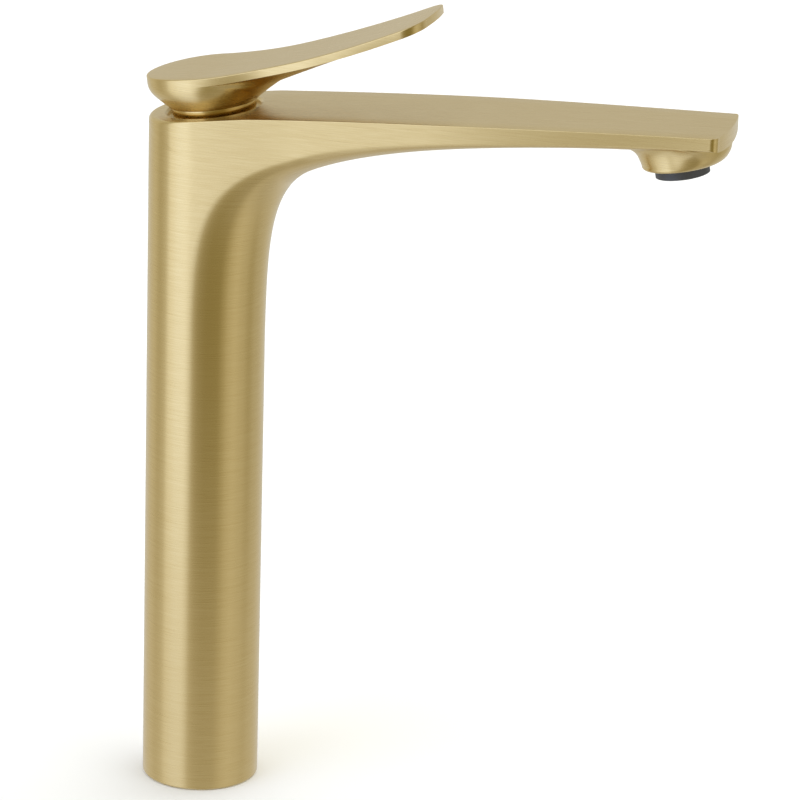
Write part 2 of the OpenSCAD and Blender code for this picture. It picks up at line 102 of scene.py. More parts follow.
class MixerHandleSizes(bpy.types.PropertyGroup):
    reach: length("Lever reach", "Distance from the valve's axis to the lever's tip", 101)
    rise: length("Lever rise", "Height that the blade gains up to its tip", 18.85)
    half_w: length("Blade half width", "Half the width of the blade", 21.8)
    waist: length("Waist half width", "Half the width where the blade leaves the head", 20.7)
    blade_t: length("Blade thickness", "Thickness of the blade at its edge", 3.4)
    rim_r: length("Rim radius", "Outside radius of the bowl's lower rim", 18.8)
    pivot_h: length("Pivot height", "Height of the tilting pin above the valve opening", 2.5)
    hollow_r: length("Hollow radius", "Radius of the hollow over the dome ring", 18.4)
    edge_round: length("Edge round", "Radius of the blade's top edge", 0.5)


class MixerColours(bpy.types.PropertyGroup):
    gold: StringProperty(
        name="Gold", description="Brushed gold coating, sRGB hex", default="#dfc891"
    )
    gold_deep: StringProperty(
        name="Gold in the scratches", description="Darker lines, sRGB hex", default="#d3b97f"
    )
    line_w: length("Line spacing", "Spacing of the brushed lines", 0.3)
    line_l: length("Line length", "Length of the brushed lines", 14)


class MixerStageSizes(bpy.types.PropertyGroup):
    azimuth: angle("View azimuth", "Turn of the view", 16)
    pitch: angle("View pitch", "Downward tilt", 19.1)
    roll: angle("View roll", "Roll of the view", 1.61)
    distance: length("View distance", "Distance of the camera in front of the column", 1900)
    sideways: length("View offset", "Distance of the camera to the right of the column", 82.94)
    height: length("View height", "Height of the camera", 830.26)
    lens: FloatProperty(
        name="Lens", description="Focal length in millimetres", default=212.68, min=20
    )
    floor: FloatVectorProperty(
        name="Floor colour", description="Pale floor", subtype="COLOR", default=(0.93, 0.93, 0.92)
    )


# ---------------------------------------------------------------- shared helpers


def props(kind):
    """The scene's property group of this kind, one of GROUPS."""
    return getattr(bpy.context.scene, "mixer_" + kind)


def linear(hex_colour):
    """An sRGB hex colour as linear RGBA."""
    parts = [int(hex_colour[i : i + 2], 16) / 255 for i in (1, 3, 5)]
    return (*(c / 12.92 if c <= 0.04045 else ((c + 0.055) / 1.055) ** 2.4 for c in parts), 1.0)


def bezier(p, u):
    """The point at u of the cubic curve from p's first to its last point."""
    a, b, c, d = (Vector(q) for q in p)
    return a * (1 - u) ** 3 + b * (3 * (1 - u) ** 2 * u) + c * (3 * (1 - u) * u * u) + d * u**3


def smooth(t):
    """0 up to t = 0 and 1 from t = 1 on, with an even rise between."""
    c = min(1.0, max(0.0, t))
    return c * c * (3 - 2 * c)


def solve(test, low, high):
    """The place between low and high where test turns from negative to positive."""
    for _ in range(60):
        middle = (low + high) / 2
        if test(middle) < 0:
            low = middle
        else:
            high = middle
    return (low + high) / 2


def deselect():
    """Leaves edit mode and deselects everything."""
    if bpy.context.object and bpy.context.object.mode != "OBJECT":
        bpy.ops.object.mode_set(mode="OBJECT")
    bpy.ops.object.select_all(action="DESELECT")


def piece_from(name, verts, faces):
    """A mesh object from points in millimetres, merged and with its normals outward."""
    mesh = bpy.data.meshes.new(name)
    mesh.from_pydata([Vector(v) * MM for v in verts], [], faces)
    piece = bpy.data.objects.new(name, mesh)
    bpy.context.scene.collection.objects.link(piece)
    bm = bmesh.new()
    bm.from_mesh(mesh)
    bmesh.ops.remove_doubles(bm, verts=bm.verts, dist=SAME_POINT)
    bmesh.ops.dissolve_degenerate(bm, dist=SAME_POINT / 2, edges=bm.edges)
    bmesh.ops.recalc_face_normals(bm, faces=bm.faces)
    if bm.calc_volume(signed=True) < 0:
        bmesh.ops.reverse_faces(bm, faces=bm.faces)
    bm.to_mesh(mesh)
    bm.free()
    return piece


def apply_place(obj):
    """Puts an object's place, turn and scale into its mesh."""
    deselect()
    obj.select_set(True)
    bpy.context.view_layer.objects.active = obj
    bpy.ops.object.transform_apply(location=True, rotation=True, scale=True)


def cylinder(radius, low, high, place, top_radius=None, segments=128):
    """A cylinder or cone from low to high along the Z axis of place, in millimetres."""
    deselect()
    bpy.ops.mesh.primitive_cone_add(
        vertices=segments,
        radius1=radius * MM,
        radius2=(radius if top_radius is None else top_radius) * MM,
        depth=(high - low) * MM,
    )
    tool = bpy.context.object
    tool.matrix_world = place @ Matrix.Translation((0, 0, (low + high) / 2 * MM))
    apply_place(tool)
    return tool


def combine(piece, tool, operation):
    """Joins or cuts piece with tool, and removes the tool."""
    deselect()
    bpy.context.view_layer.objects.active = piece
    piece.select_set(True)
    step = piece.modifiers.new("step", "BOOLEAN")
    step.operation = operation
    step.solver = "MANIFOLD"
    step.object = tool
    bpy.ops.object.modifier_apply(modifier=step.name)
    bpy.data.objects.remove(tool)


def merge_slivers(piece):
    """Joins points that the cuts left closer than SAME_POINT."""
    bm = bmesh.new()
    bm.from_mesh(piece.data)
    bmesh.ops.remove_doubles(bm, verts=bm.verts, dist=SAME_POINT)
    bmesh.ops.dissolve_degenerate(bm, dist=SAME_POINT, edges=bm.edges)
    bm.to_mesh(piece.data)
    bm.free()


def finish_piece(piece, body, material):
    """Gives a new piece its shading, body, slot and material."""
    merge_slivers(piece)
    deselect()
    piece.select_set(True)
    bpy.context.view_layer.objects.active = piece
    bpy.ops.object.shade_smooth_by_angle(angle=SMOOTH_ANGLE)
    piece.data.materials.clear()
    piece.data.materials.append(material)
    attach(piece, body)


def valve_frame():
    """The valve opening's centre, with Z square to its sloping plane."""
    body = props("body")
    place = Matrix.Translation((body.valve_x, 0, body.body_h))
    return place @ Matrix.Rotation(-body.valve_tilt, 4, "Y")


def outlet_frame():
    """The centre of the outlet boss's sloping face, with Z up into the boss."""
    body = props("body")
    place = Matrix.Translation((body.reach - BOSS_BACK * MM, 0, body.body_h - BOSS_DROP * MM))
    return place @ Matrix.Rotation(-BOSS_TILT, 4, "Y")


# ---------------------------------------------------------------- materials


def add(tree, kind, inputs=None, **settings):
    """Adds a node, with its settings, its values and the sockets that it is linked from."""
    node = tree.nodes.new(kind)
    for name, value in settings.items():
        setattr(node, name, value)
    for name, value in (inputs or {}).items():
        socket = node.inputs[name]
        if isinstance(value, bpy.types.NodeSocket):
            tree.links.new(value, socket)
        else:
            socket.default_value = value
    return node


def new_material(name):
    """A new material, its node tree and its main shader."""
    material = bpy.data.materials.new(name)
    material.use_nodes = True
    tree = material.node_tree
    return material, tree, tree.nodes["Principled BSDF"]


def connect(tree, shader, sockets):
    """Links each socket to the shader's input of that name."""
    for name, socket in sockets.items():
        tree.links.new(socket, shader.inputs[name])


def noise(tree, coords, scale, detail):
    """Even noise, with scale spots in a metre."""
    inputs = {"Vector": coords, "Scale": scale, "Detail": detail}
    return add(tree, "ShaderNodeTexNoise", inputs).outputs["Fac"]


def spread(tree, value, low, high, start=0.0, end=1.0):
    """The value's range from start to end, spread from low to high."""
    inputs = {"Value": value, "From Min": start, "From Max": end, "To Min": low, "To Max": high}
    return add(tree, "ShaderNodeMapRange", inputs).outputs["Result"]


def tinted(tree, share, dark, light):
    """A colour between two sRGB hex colours."""
    inputs = {0: share, 6: linear(dark), 7: linear(light)}
    return add(tree, "ShaderNodeMix", inputs, data_type="RGBA").outputs[2]


def relief(tree, height, strength, depth_mm):
    """A normal that follows height as if it were depth_mm deep."""
    inputs = {"Height": height, "Strength": strength, "Distance": depth_mm * MM}
    return add(tree, "ShaderNodeBump", inputs).outputs["Normal"]


def brushed_lines(tree, spacing, run):
    """Fine lines, and how flat a face is: they run round upright faces and along flat ones."""
    coords = add(tree, "ShaderNodeTexCoord").outputs["Object"]
    normal = add(tree, "ShaderNodeNewGeometry").outputs["Normal"]
    up = add(tree, "ShaderNodeSeparateXYZ", {0: normal}).outputs["Z"]
    steep = add(tree, "ShaderNodeMath", {0: up}, operation="ABSOLUTE").outputs[0]
    flat = spread(tree, steep, 0.0, 1.0, 0.6, 0.85)
    across, along = 1 / spacing, 1 / run
    values = []
    for scale in ((along, along, across), (along, across, along)):
        place = add(tree, "ShaderNodeMapping", {"Vector": coords, "Scale": scale})
        inputs = {"Vector": place.outputs["Vector"], "Scale": 1.0, "Detail": 3.0, "Roughness": 0.65}
        values.append(add(tree, "ShaderNodeTexNoise", inputs).outputs["Fac"])
    inputs = {0: flat, 2: values[0], 3: values[1]}
    lines = add(tree, "ShaderNodeMix", inputs, data_type="FLOAT").outputs[0]
    return lines, flat


def brushed_gold():
    """PVD-coated brass, brushed with a belt: satin, its highlights smeared across fine lines."""
    colours = props("colours")
    material, tree, shader = new_material("brushed_gold_pvd_on_brass")
    lines, flat = brushed_lines(tree, colours.line_w, colours.line_l)
    coords = add(tree, "ShaderNodeTexCoord").outputs["Object"]
    cloud = noise(tree, coords, 14.0, 2.0)
    tone = spread(tree, lines, 0.0, 1.0, 0.3, 0.7)
    mottle = add(tree, "ShaderNodeMix", {0: 0.25, 2: tone, 3: cloud}, data_type="FLOAT").outputs[0]
    tangents = {0: flat, 4: (0.0, 0.0, 1.0), 5: (0.0, 1.0, 0.0)}
    shader.inputs["Metallic"].default_value = 1.0
    shader.inputs["Anisotropic"].default_value = 0.7
    connect(tree, shader, {
        "Base Color": tinted(tree, mottle, colours.gold_deep, colours.gold),
        "Roughness": spread(tree, lines, 0.29, 0.22, 0.25, 0.75),
        "Normal": relief(tree, lines, 0.07, 0.04),
        "Tangent": add(tree, "ShaderNodeMix", tangents, data_type="VECTOR").outputs[1],
    })
    return material


def polished_gold():
    """The same coating on polished brass: clear reflections, with faint hairlines."""
    material, tree, shader = new_material("polished_gold_pvd_on_brass")
    lines = brushed_lines(tree, 0.3 * MM, 30 * MM)[0]
    shader.inputs["Base Color"].default_value = linear(props("colours").gold)
    shader.inputs["Metallic"].default_value = 1.0
    connect(tree, shader, {
        "Roughness": spread(tree, lines, 0.09, 0.16),
        "Normal": relief(tree, lines, 0.05, 0.02),
    })
    return material


def turned_metal(name, light, dark, roughness):
    """Metal from a lathe: even rings about 0.3 mm apart and a dull sheen."""
    material, tree, shader = new_material(name)
    lines = brushed_lines(tree, 0.3 * MM, 12 * MM)[0]
    shader.inputs["Metallic"].default_value = 1.0
    connect(tree, shader, {
        "Base Color": tinted(tree, lines, dark, light),
        "Roughness": spread(tree, lines, roughness - 0.06, roughness + 0.08),
        "Normal": relief(tree, lines, 0.2, 0.05),
    })
    return material


def moulded(name, light, dark, roughness, grain_mm, strength=0.15):
    """Moulded plastic, rubber or fired ceramic: a faint mottle and the mould's fine grain."""
    material, tree, shader = new_material(name)
    coords = add(tree, "ShaderNodeTexCoord").outputs["Object"]
    grain = noise(tree, coords, 1 / (grain_mm * MM), 2.0)
    connect(tree, shader, {
        "Base Color": tinted(tree, noise(tree, coords, 160.0, 3.0), dark, light),
        "Roughness": spread(tree, grain, roughness - 0.05, roughness + 0.07),
        "Normal": relief(tree, grain, strength, 0.04),
    })
    return material


FINISHES = {}


def materials():
    """Every finish of the mixer, made once."""
    if not FINISHES:
        FINISHES.update(
            gold=brushed_gold(),
            polished=polished_gold(),
            brass=turned_metal("turned_brass", "#d9bd72", "#a98a43", 0.3),
            steel=turned_metal("turned_stainless_steel", "#c9cbcd", "#8e9194", 0.28),
            ceramic=moulded("lapped_alumina_ceramic", "#f3f2ec", "#e6e4dc", 0.22, 0.2, 0.04),
            acetal=moulded("natural_acetal", "#e9e8e2", "#d9d8d1", 0.42, 0.3),
            grey=moulded("dark_grey_moulded_nylon", "#4b4c50", "#3c3d41", 0.5, 0.25, 0.25),
            blue=moulded("blue_acetal", "#3f6ca6", "#315a90", 0.4, 0.3),
            red=moulded("red_acetal", "#b8352b", "#9c2a22", 0.35, 0.3),
            rubber=moulded("black_nitrile_rubber", "#26262a", "#1b1b1e", 0.62, 0.2, 0.3),
            silicone=moulded("red_silicone_rubber", "#a8432c", "#8f3724", 0.55, 0.2, 0.3),
        )
    return FINISHES


def give(finish, *nodes):
    """Puts a finish on CAD nodes, whose meshes stay as they are."""
    material = materials()[finish]
    for name in nodes:
        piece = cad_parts[name]
        if not piece.material_slots:
            piece.data.materials.append(material)
        for slot in piece.material_slots:
            slot.material = material


# ---------------------------------------------------------------- the body's surface

# All in millimetres. Lengths that end in DROP are measured down from body_h.
STRAIGHT_DROP = 99  # top of the column's straight part
LOFT_PAST = 3  # how far the loft runs past the spout's end, before it is cut
SPREAD_RUN = 45  # the spout has its full width this far in front of the column's axis
TAPER_START, TAPER_RUN = 122, 130  # where the taper starts, behind the spout's end, and its length
SPOUT_CORNER = 3.0  # radius of the spout's corners, seen from above
SPOUT_BULGE = 1.5  # how much the spout's end bows out
SEAM_H = 197.5  # height where the column tube meets the head
HOLLOW_DROP = 51.5  # ceiling of the hollow in the head
POCKET_R, THREAD_R = 17.65, 18.5  # the cartridge's pocket and its nut's thread
SOCKET_R, SOCKET_H = 11.3, 9  # the aerator's socket
INLET_X, INLET_Y, INLET_R = 5, 9, 4.5  # the two hose inlets


def body_curves():
    """The body's guide curves in side view: underside, start of the flat sides, top face."""
    body = props("body")
    r, h, e = body.column_r / MM, body.body_h / MM, body.reach / MM
    loft_end = e + LOFT_PAST
    keel = (
        ((r, h - STRAIGHT_DROP), (r + 0.5, h - 54.5), (r + 1.5, h - 31.5), (r + 23, h - 21)),
        ((r + 23, h - 21), (r + 47, h - 9.7), (e - 102.5, h - 0.2), (e - 46.5, h + 3.3)),
        ((e - 46.5, h + 3.3), (e - 30, h + 4.3), (e - 12, h + 6.5), (loft_end, h + 7.8)),
    )
    shoulder = (
        ((0, h - STRAIGHT_DROP), (0, h - 46.5), (2, h - 26.5), (r + 18, h - 12)),
        ((r + 18, h - 12), (r + 43, h - 1.5), (e - 112.5, h + 2.5), (e - 46.5, h + 7.8)),
        ((e - 46.5, h + 7.8), (e - 30, h + 8.6), (e - 12, h + 9.3), (loft_end, h + 9.6)),
    )
    top = ((24, h + 3.1), (90, h + 9), (e - 72, h + 12), (loft_end, h + 14.7))
    return keel, shoulder, top


def on_curve(spans, u):
    """The point at u of a chain of curves, one for each whole step of u."""
    i = min(len(spans) - 1, int(u))
    return bezier(spans[i], u - i)


def half_width(x):
    """Half width of the body at x: the tube's circle behind the axis, the spout in front."""
    body = props("body")
    r, w, end = body.column_r / MM, body.half_w / MM, body.reach / MM
    if x < 0:
        return math.sqrt(r * r - x * x) if x > 1e-3 - r else 0.0
    narrow = body.taper / MM * smooth((x - end + TAPER_START) / TAPER_RUN)
    return r + (w - r) * smooth(x / SPREAD_RUN) - narrow


def top_z(x, top):
    """Height of the top face: the valve's sloping plane, then the spout's long curve."""
    body = props("body")
    if x < top[0][0]:
        return body.body_h / MM + (x - body.valve_x / MM) * math.tan(body.valve_tilt)
    u = solve(lambda t: bezier(top, t)[0] - x, 0.0, 1.0)
    return bezier(top, u)[1]


def edge_radius(x):
    """Radius of the top edge: generous behind the handle, crisp along the spout."""
    body = props("body")
    return (body.edge_round + (body.rear_round - body.edge_round) * smooth((-x - 2) / 16)) / MM


# Steps along one ring: down the flat side, round to the keel, over the top edge, across the top.
WALL_STEPS, UNDER_STEPS, EDGE_STEPS, TOP_STEPS = 22, 22, 5, 6
# Rings up the column, through the bend and along the spout.
COLUMN_STEPS, BEND_STEPS, SPOUT_STEPS = 24, 36, 110


def ring_side(shoulder, keel, end):
    """One side of a ring, from its upper end down the flat side and round to the keel."""
    points = []
    for j in range(WALL_STEPS, 0, -1):
        p = shoulder + (end - shoulder) * math.sin(math.pi / 2 * j / WALL_STEPS)
        points.append(Vector((p[0], half_width(p[0]), p[1])))
    for j in range(UNDER_STEPS + 1):
        a = math.pi / 2 * j / UNDER_STEPS
        p = shoulder + (keel - shoulder) * math.sin(a)
        width = half_width(shoulder[0]) * (0.0 if j == UNDER_STEPS else math.cos(a))
        points.append(Vector((p[0], width, p[1])))
    return points


def column_rings():
    """Rings up the straight part of the column, from the rounded foot."""
    body = props("body")
    r, f, h = body.column_r / MM, body.foot_round / MM, body.body_h / MM
    rings = []
    for a in range(0, 91, 15):
        inset = f * (1 - math.sin(math.radians(a)))
        z = f * (1 - math.cos(math.radians(a)))
        scale = (r - inset) / r
        ring = ring_side(Vector((0, z)), Vector((r, z)), Vector((-r, z)))
        rings.append([Vector((p[0] * scale, p[1] * scale, z)) for p in ring])
    for i in range(1, COLUMN_STEPS):
        z = f + (h - STRAIGHT_DROP - f) * i / COLUMN_STEPS
        rings.append(ring_side(Vector((0, z)), Vector((r, z)), Vector((-r, z))))
    return rings


def bend_rings():
    """Rings of the head that still go round its back, up to the one that touches the rear edge."""
    body = props("body")
    keel, shoulder, top = body_curves()
    r = body.column_r / MM

    def back_z(u):
        """Where the line from keel through shoulder meets the column's back."""
        s, k = on_curve(shoulder, u), on_curve(keel, u)
        return s[1] + (s[1] - k[1]) * (s[0] + r) / max(1e-6, k[0] - s[0])

    low, high = back_z(0), top_z(-r, top) - edge_radius(-r)
    rings = []
    for i in range(BEND_STEPS + 1):
        target = low + (high - low) * i / BEND_STEPS
        u = solve(lambda t: back_z(t) - target, 0.0, 0.99)
        rings.append(ring_side(on_curve(shoulder, u), on_curve(keel, u), Vector((-r, target))))
    return rings


def rim_rings():
    """Rings that end at the top edge, from the rear edge to the spout's end."""
    body = props("body")
    keel, shoulder, top = body_curves()
    r, end = body.column_r / MM, body.reach / MM
    places = [-r * math.cos(math.radians(a)) for a in range(4, 90, 4)]
    places += [(end + LOFT_PAST) * i / SPOUT_STEPS for i in range(SPOUT_STEPS + 1)]
    rings = []
    u = 0.3  # each ring's search starts from the ring before, and the first one from here
    for x in places:
        tip = Vector((x, top_z(x, top) - edge_radius(x)))

        def turn(t):
            """Which side of the line from keel through shoulder the ring's upper end is on."""
            s, k = on_curve(shoulder, t), on_curve(keel, t)
            return (s[0] - k[0]) * (tip[1] - k[1]) - (s[1] - k[1]) * (tip[0] - k[0])

        u = solve(turn, u, 3.0)
        rings.append(ring_side(on_curve(shoulder, u), on_curve(keel, u), tip))
    return rings


def edge_arcs(rims):
    """The rounded strip that joins each ring's upper end to the top face."""
    slope = 0.14  # the top face's slope behind the handle, rounded
    ends = [ring[0] for ring in rims]
    arcs = []
    for i, point in enumerate(ends):
        before = ends[i - 1] if i else Vector((point[0], -point[1], 0))
        after = ends[i + 1] if i + 1 < len(ends) else Vector((point[0], -point[1], 0))
        along = Vector((after[0] - before[0], after[1] - before[1], 0)).normalized()
        inward = Vector((along[1], -along[0], 0))
        radius = edge_radius(point[0])
        if point[1] < 1e-6:
            inward = Vector((-1 if point[0] > 0 else 1, 0, 0))
        arc = []
        for k in range(EDGE_STEPS + 1):
            a = math.pi / 2 * k / EDGE_STEPS
            shift = inward * radius * (1 - math.cos(a))
            place = point + shift
            place[1] = max(0.0, place[1])
            place[2] = point[2] + radius * math.sin(a) + shift[0] * slope
            arc.append(place)
        arcs.append(arc)
    return arcs


def body_solid():
    """The column, head and spout as one closed skin."""
    bend = bend_rings()
    rims = [bend[-1]] + rim_rings()
    rings = column_rings() + bend + rims[1:]
    verts, faces = [], []

    def place(point):
        verts.append(point)
        return len(verts) - 1

    def strip(lines):
        """Faces between neighbouring lines of points, and their mirror images."""
        for mirror in (1, -1):
            ids = [[place((p[0], p[1] * mirror, p[2])) for p in line] for line in lines]
            for a, b in zip(ids, ids[1:]):
                for j in range(len(a) - 1):
                    faces.append((a[j], a[j + 1], b[j + 1], b[j]))

    strip(rings)
    arcs = edge_arcs(rims)
    strip(arcs)
    across = [1 - 2 * k / TOP_STEPS for k in range(TOP_STEPS + 1)]
    rows = []
    for arc in arcs:
        p = arc[-1]
        rows.append([place((p[0], p[1] * share, p[2])) for share in across])
    for a, b in zip(rows, rows[1:]):
        for k in range(TOP_STEPS):
            faces.append((a[k], a[k + 1], b[k + 1], b[k]))
    last = arcs[-1][-1]
    for ring in (rings[0], arcs[-1][:0:-1] + rings[-1]):
        cap = [place((p[0], p[1], p[2])) for p in ring]
        cap += [place((p[0], -p[1], p[2])) for p in reversed(ring) if p[1] > 1e-6]
        if ring is not rings[0]:
            cap += [place((last[0], -last[1] * share, last[2])) for share in across[1:-1]]
        faces.append(cap)
    return piece_from("body_skin", verts, faces)


def tip_solid():
    """An upright block whose end gives the spout its rounded corners and slightly bowed front."""
    back, side, low, high = -60, 60, -20, 400
    end = props("body").reach / MM
    start = end - SPOUT_BULGE - SPOUT_CORNER
    inner = half_width(start) - SPOUT_CORNER
    half = [(back, side), (start + 0.05, side)]
    for a in range(1, 91, 8):
        t = math.radians(a)
        half.append((start + SPOUT_CORNER * math.sin(t), inner + SPOUT_CORNER * math.cos(t)))
    half += [(end - SPOUT_BULGE * (k / 10) ** 2, inner * k / 10) for k in range(10, 0, -1)]
    outline = half + [(end, 0)] + [(x, -y) for x, y in reversed(half)]
    count = len(outline)
    verts = [(x, y, z) for z in (low, high) for x, y in outline]
    faces = [(i, (i + 1) % count, (i + 1) % count + count, i + count) for i in range(count)]
    faces += [tuple(range(count)), tuple(range(count, 2 * count))]
    return piece_from("tip", verts, faces)


def soften_tip(piece):
    """A small round along the top edge of the spout's end."""
    body = props("body")
    start = body.reach - (SPOUT_BULGE + SPOUT_CORNER + 0.1) * MM
    bm = bmesh.new()
    bm.from_mesh(piece.data)
    edges = []
    for edge in bm.edges:
        if len(edge.link_faces) != 2 or min(v.co[0] for v in edge.verts) < start:
            continue
        ups = sorted(face.normal[2] for face in edge.link_faces)
        if ups[1] > 0.9 and ups[0] < 0.3:
            edges.append(edge)
    bmesh.ops.bevel(
        bm, geom=edges, affect="EDGES", offset=body.edge_round, segments=4, profile=0.5,
        clamp_overlap=True,
    )
    bm.to_mesh(piece.data)
    bm.free()


# ---------------------------------------------------------------- the outlet boss

BOSS_BACK = 20.2  # the boss's axis behind the spout's end, in millimetres
BOSS_DROP = 3.1  # the centre of its face below body_h
BOSS_TILT = math.radians(10)
BOSS_SIN, BOSS_COS = 0.174, 0.985  # of the tilt, rounded
BOSS_FLARE = 25.5  # the largest radius of its foot
BOSS_SUNK = 0.3  # how far its foot reaches into the spout

# Profiles as (radius, height above the boss's face): in front, and the rim all round.
BOSS_FRONT = (
    (15, 0), (16.8, 0.4), (18.6, 1.4), (20.0, 2.9),
    (21.0, 4.6), (21.5, 6.4), (21.5, 8.5), (20.5, 10),
)
BOSS_EDGE = ((15, 0), (15.7, 0.3), (16.15, 1.0), (16.3, 2.4))


def curve_height(spans, x):
    """Height at x of a guide curve, in front of the bend."""
    return on_curve(spans, solve(lambda t: on_curve(spans, t)[0] - x, 0.8, 3.0))[1]


def underside(x, y):
    """Height of the spout's underside, in millimetres."""
    keel, shoulder, _ = body_curves()
    low, high = curve_height(keel, x), curve_height(shoulder, x)
    return high + (low - high) * math.sqrt(max(0.0, 1 - (y / half_width(x)) ** 2))


def boss_flank(a):
    """The boss's profile in the direction a: its rim, then a hollow curve into the underside."""
    body = props("body")
    x0, z0 = body.reach / MM - BOSS_BACK, body.body_h / MM - BOSS_DROP
    r = min(BOSS_FLARE, (half_width(x0) - BOSS_SUNK) / max(0.1, abs(math.sin(a))))
    x = x0 + r * math.cos(a) - 2
    meets = underside(x, r * math.sin(a)) + BOSS_SUNK
    h = (meets - z0 - BOSS_SIN * r * math.cos(a)) / BOSS_COS
    edge_r, edge_h = BOSS_EDGE[-1]
    curve = (
        (edge_r, edge_h),
        (edge_r + 0.3, edge_h + 0.6 * (h - edge_h)),
        (r - 0.45 * (r - edge_r), h - 0.3),
        (r, h),
    )
    flare = tuple(tuple(bezier(curve, t)) for t in (0.35, 0.7, 1.0))
    return BOSS_EDGE + flare + ((r + 0.3, h + 1.6),)


def through(points, t):
    """A smooth curve through all the points, at t from 0 to 1."""
    count = len(points) - 1
    i = min(count - 1, int(t * count))
    f = t * count - i
    p = [Vector(points[min(count, max(0, i + k))]) for k in (-1, 0, 1, 2)]
    return (
        p[1] * 2 + (p[2] - p[0]) * f + (p[0] * 2 - p[1] * 5 + p[2] * 4 - p[3]) * f * f
        + (p[1] * 3 - p[0] - p[2] * 3 + p[3]) * f**3
    ) * 0.5


def boss_solid():
    """The boss: hollow-curved behind, where it meets the underside, and full in front."""
    turns, rings = 96, 28
    place = outlet_frame()
    flanks = [boss_flank(2 * math.pi * j / turns) for j in range(turns)]
    verts, faces = [], []
    for k in range(rings + 1):
        for j in range(turns):
            a = 2 * math.pi * j / turns
            front = smooth(math.cos(a))
            p = through(BOSS_FRONT, k / rings) * front + through(flanks[j], k / rings) * (1 - front)
            v = place @ Vector((p[0] * math.cos(a) * MM, p[0] * math.sin(a) * MM, p[1] * MM)) / MM
            limit = half_width(v[0]) - 0.1  # it stays inside the spout's sides
            v[1] = max(-limit, min(limit, v[1]))
            verts.append(v)
    for k in range(rings):
        for j in range(turns):
            b = (j + 1) % turns
            faces.append((k * turns + j, k * turns + b, (k + 1) * turns + b, (k + 1) * turns + j))
    faces.append(tuple(range(turns)))
    faces.append(tuple(rings * turns + j for j in range(turns)))
    return piece_from("boss", verts, faces)


class MIXER_OT_body(bpy.types.Operator):
    """Model the column, head and spout as one brushed casting, with its bores"""

    bl_idname = "mixer.body"
    bl_label = "Body"

    def execute(self, context):
        body = props("body")
        upright, valve, outlet = Matrix.Identity(4), valve_frame(), outlet_frame()
        skin = body_solid()
        combine(skin, tip_solid(), "INTERSECT")
        soften_tip(skin)
        combine(skin, boss_solid(), "UNION")
        tube, head, hole = body.tube_bore_r / MM, body.head_bore_r / MM, body.opening_r / MM
        ceiling = body.body_h / MM - HOLLOW_DROP
        tools = [
            cylinder(tube, -5, SEAM_H, upright),
            cylinder(head, SEAM_H - 1, ceiling, upright),
            cylinder(POCKET_R, -25, 5, valve),
            cylinder(THREAD_R, -5, 5, valve),
            cylinder(hole, -2, 5, valve),
            cylinder(hole - 0.1, -1, 3, valve, top_radius=hole + 3.9),  # the opening's chamfer
            cylinder(SOCKET_R, -5, SOCKET_H, outlet),
        ]
        for side in (-1, 1):
            place = Matrix.Translation((INLET_X * MM, side * INLET_Y * MM, 0))
            tools.append(cylinder(INLET_R, ceiling - 1, ceiling + 10, place, segments=48))
        for tool in tools:
            combine(skin, tool, "DIFFERENCE")
        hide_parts("column_tube", "spout_head")
        finish_piece(skin, "body", materials()["gold"])
        return {"FINISHED"}


# ---------------------------------------------------------------- the handle

# In millimetres, in the valve's tilted frame.
HEAD_SIDE, HEAD_FRONT, HEAD_BACK = 23, 32, 26.9  # the round head's reach from the valve's axis
PLAN_BACK = 26.84  # the outline's reach at the back, just inside HEAD_BACK
TOP_H = 17.3  # height of the top face over the valve's axis
ROOT_H = 11  # height where the bowl's front runs into the blade
TIP_NARROW = 1.2  # how much narrower each side is at the tip
TIP_CORNER = 9  # radius of the tip's corners, seen from above
TIP_BULGE = 1  # how much the tip bows out
CEILING_H = 12  # flat ceiling of the hollow in the bowl
HUB_R, HUB_BOTTOM, HUB_TOP = 7.5, 7.5, 13  # the hub that takes the stem
GRUB_H, GRUB_R = 10.2, 2.5  # the grub screw's hole at the back
BOWL_STEPS, BLADE_STEPS, ROUND_STEPS = 18, 14, 5  # up the bowl, under the blade, over its edge


def lever_top(x):
    """Height of the handle's top face."""
    handle = props("handle")
    if x < 0:
        return TOP_H - (x / HEAD_BACK) ** 2
    return TOP_H + handle.rise / MM * (x / (handle.reach / MM)) ** 1.62


def handle_half_w(x):
    """Half width of the handle at x: the round head, the waist, the blade, the tip."""
    handle = props("handle")
    if x < 0:
        return HEAD_SIDE * math.sqrt(max(0.0, 1 - (x / HEAD_BACK) ** 2))
    waist, blade = handle.waist / MM, handle.half_w / MM
    narrow = TIP_NARROW * smooth((x - handle.reach / MM + 39) / 36)
    grow = (blade - waist) * smooth((x - 30) / 24)
    return HEAD_SIDE + (waist - HEAD_SIDE) * smooth(x / 31) + grow - narrow


def handle_plan():
    """The handle's outline seen from above, all the way round."""
    reach = props("handle").reach / MM
    x1 = reach - TIP_BULGE - TIP_CORNER
    w1 = handle_half_w(x1)
    turns = [math.radians(a) for a in range(2, 90, 4)]
    half = [(-PLAN_BACK * math.cos(t), HEAD_SIDE * math.sin(t)) for t in turns]
    half += [(x1 * i / 36, handle_half_w(x1 * i / 36)) for i in range(37)]
    for a in range(8, 89, 8):
        t = math.radians(a)
        half.append((x1 + TIP_CORNER * math.sin(t), w1 - TIP_CORNER * (1 - math.cos(t))))
    inner = w1 - TIP_CORNER
    half += [(reach - TIP_BULGE * t * t, inner * t) for t in (0.9, 0.7, 0.5, 0.3, 0.1)]
    return [Vector(p) for p in half] + [Vector((p[0], -p[1])) for p in reversed(half)]


def head_radius(p):
    """How far the bowl reaches towards p."""
    a = math.atan2(p[1], p[0])
    if abs(a) > math.pi / 2:
        return p.length
    oval = 1 / math.sqrt((math.cos(a) / HEAD_FRONT) ** 2 + (math.sin(a) / HEAD_SIDE) ** 2)
    return min(p.length, oval)


